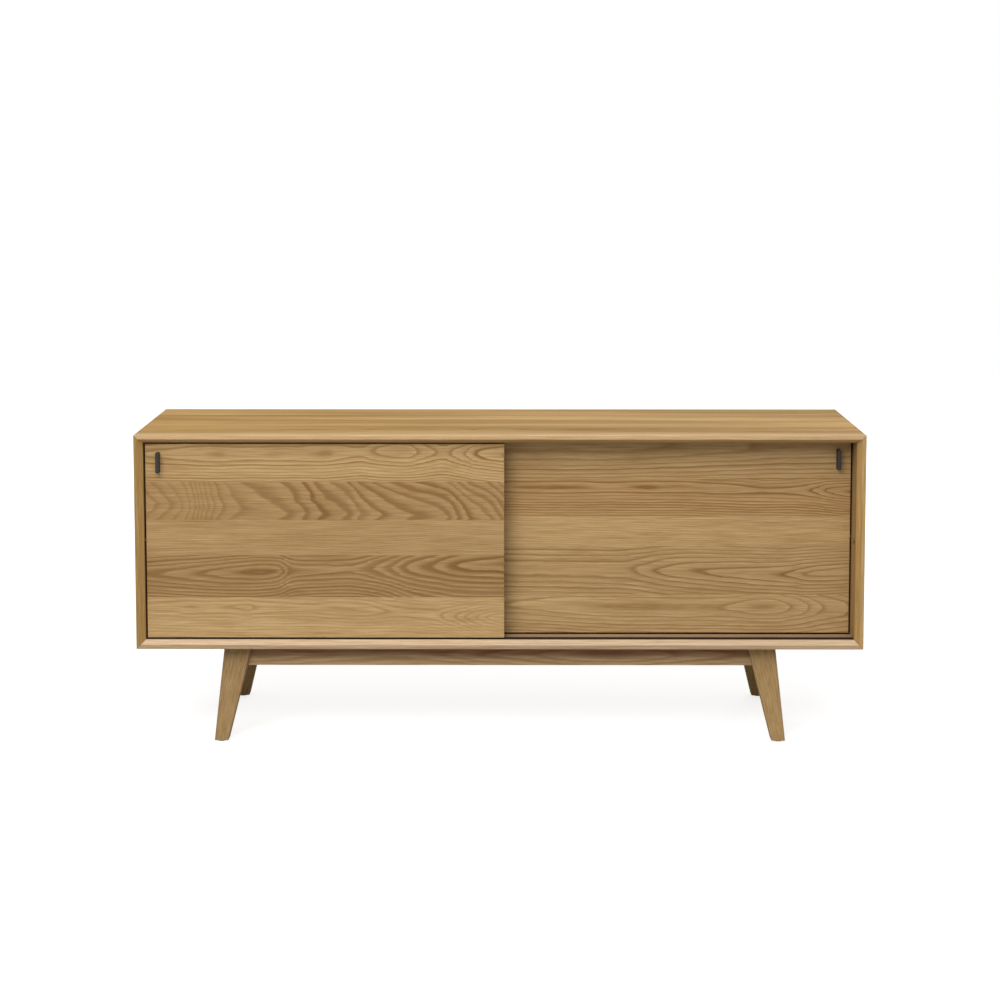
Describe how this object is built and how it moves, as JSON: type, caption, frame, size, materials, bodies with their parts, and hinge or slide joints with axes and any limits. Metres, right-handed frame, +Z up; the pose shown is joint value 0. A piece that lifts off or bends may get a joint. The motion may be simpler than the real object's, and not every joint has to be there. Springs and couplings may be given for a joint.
{
  "type": "sliding door cabinet",
  "caption": "Low wide oak cabinet with a mitred bevelled case, overlapping sliding doors on rollers, shelves inside and a splayed tapered-leg underframe.",
  "frame": {"origin": "on the floor, under the middle of the cabinet", "axes": "+Z up, the front with the doors faces -Y, +X is to the right as seen from the front"},
  "size_m": [1.6, 0.45, 0.688],
  "materials": {
    "oak": "satin oiled oak",
    "oak_ply": "matt oak-faced plywood",
    "dark_steel": "charcoal satin coat",
    "bright_steel": "zinc plated",
    "brown_plastic": "dark brown",
    "black_nylon": "black nylon",
    "black_rubber": "matt black",
    "clear_rubber": "translucent amber"
  },
  "bodies": {
    "case": {"top_panel": "oak", "bottom_panel": "oak", "left_side_panel": "oak", "right_side_panel": "oak", "back_panel": "oak_ply", "centre_divider": "oak", "left_shelf": "oak", "right_shelf": "oak", "left_shelf_pin_outer_front": "bright_steel", "left_shelf_pin_inner_front": "bright_steel", "left_shelf_pin_outer_rear": "bright_steel", "left_shelf_pin_inner_rear": "bright_steel", "right_shelf_pin_outer_front": "bright_steel", "right_shelf_pin_inner_front": "bright_steel", "right_shelf_pin_outer_rear": "bright_steel", "right_shelf_pin_inner_rear": "bright_steel", "front_floor_channel": "brown_plastic", "front_top_channel": "brown_plastic", "rear_floor_channel": "brown_plastic", "rear_top_channel": "brown_plastic", "left_front_door_buffer": "clear_rubber", "left_rear_door_buffer": "clear_rubber", "right_front_door_buffer": "clear_rubber", "right_rear_door_buffer": "clear_rubber", "front_rail": "oak", "rear_rail": "oak", "left_rail": "oak", "right_rail": "oak", "front_left_leg": "oak", "front_right_leg": "oak", "rear_left_leg": "oak", "rear_right_leg": "oak", "front_left_glide_pad": "black_rubber", "front_right_glide_pad": "black_rubber", "rear_left_glide_pad": "black_rubber", "rear_right_glide_pad": "black_rubber"},
    "left_door": {"left_door_panel": "oak", "left_door_pull": "dark_steel", "left_door_pull_screw_lower": "bright_steel", "left_door_pull_screw_upper": "bright_steel", "left_door_outer_roller_housing": "brown_plastic", "left_door_outer_roller_axle": "bright_steel", "left_door_outer_top_guide": "brown_plastic", "left_door_inner_roller_housing": "brown_plastic", "left_door_inner_roller_axle": "bright_steel", "left_door_inner_top_guide": "brown_plastic"},
    "right_door": {"right_door_panel": "oak", "right_door_pull": "dark_steel", "right_door_pull_screw_lower": "bright_steel", "right_door_pull_screw_upper": "bright_steel", "right_door_outer_roller_housing": "brown_plastic", "right_door_outer_roller_axle": "bright_steel", "right_door_outer_top_guide": "brown_plastic", "right_door_inner_roller_housing": "brown_plastic", "right_door_inner_roller_axle": "bright_steel", "right_door_inner_top_guide": "brown_plastic"},
    "left_door_outer_roller": {"left_door_outer_roller": "black_nylon"},
    "left_door_inner_roller": {"left_door_inner_roller": "black_nylon"},
    "right_door_outer_roller": {"right_door_outer_roller": "black_nylon"},
    "right_door_inner_roller": {"right_door_inner_roller": "black_nylon"}
  },
  "joints": [
    {"name": "left_door_slide", "type": "slide", "parent": "case", "child": "left_door", "axis": [1, 0, 0], "range_m": [0, 0.768]},
    {"name": "right_door_slide", "type": "slide", "parent": "case", "child": "right_door", "axis": [1, 0, 0], "range_m": [-0.768, 0]},
    {"name": "left_door_outer_roller_spin", "type": "hinge", "parent": "left_door", "child": "left_door_outer_roller", "pos_m": [-0.688, -0.194, 0.2378], "axis": [0, 1, 0], "range_deg": [0, 4410]},
    {"name": "left_door_inner_roller_spin", "type": "hinge", "parent": "left_door", "child": "left_door_inner_roller", "pos_m": [-0.08, -0.194, 0.2378], "axis": [0, 1, 0], "range_deg": [0, 4410]},
    {"name": "right_door_outer_roller_spin", "type": "hinge", "parent": "right_door", "child": "right_door_outer_roller", "pos_m": [0.688, -0.144, 0.2378], "axis": [0, 1, 0], "range_deg": [-4410, 0]},
    {"name": "right_door_inner_roller_spin", "type": "hinge", "parent": "right_door", "child": "right_door_inner_roller", "pos_m": [0.08, -0.144, 0.2378], "axis": [0, 1, 0], "range_deg": [-4410, 0]}
  ],
  "couplings": [
    {"joint": "left_door_outer_roller_spin", "follows": "left_door_slide", "rad_per_m": 100},
    {"joint": "left_door_inner_roller_spin", "follows": "left_door_slide", "rad_per_m": 100},
    {"joint": "right_door_outer_roller_spin", "follows": "right_door_slide", "rad_per_m": 100},
    {"joint": "right_door_inner_roller_spin", "follows": "right_door_slide", "rad_per_m": 100}
  ]
}
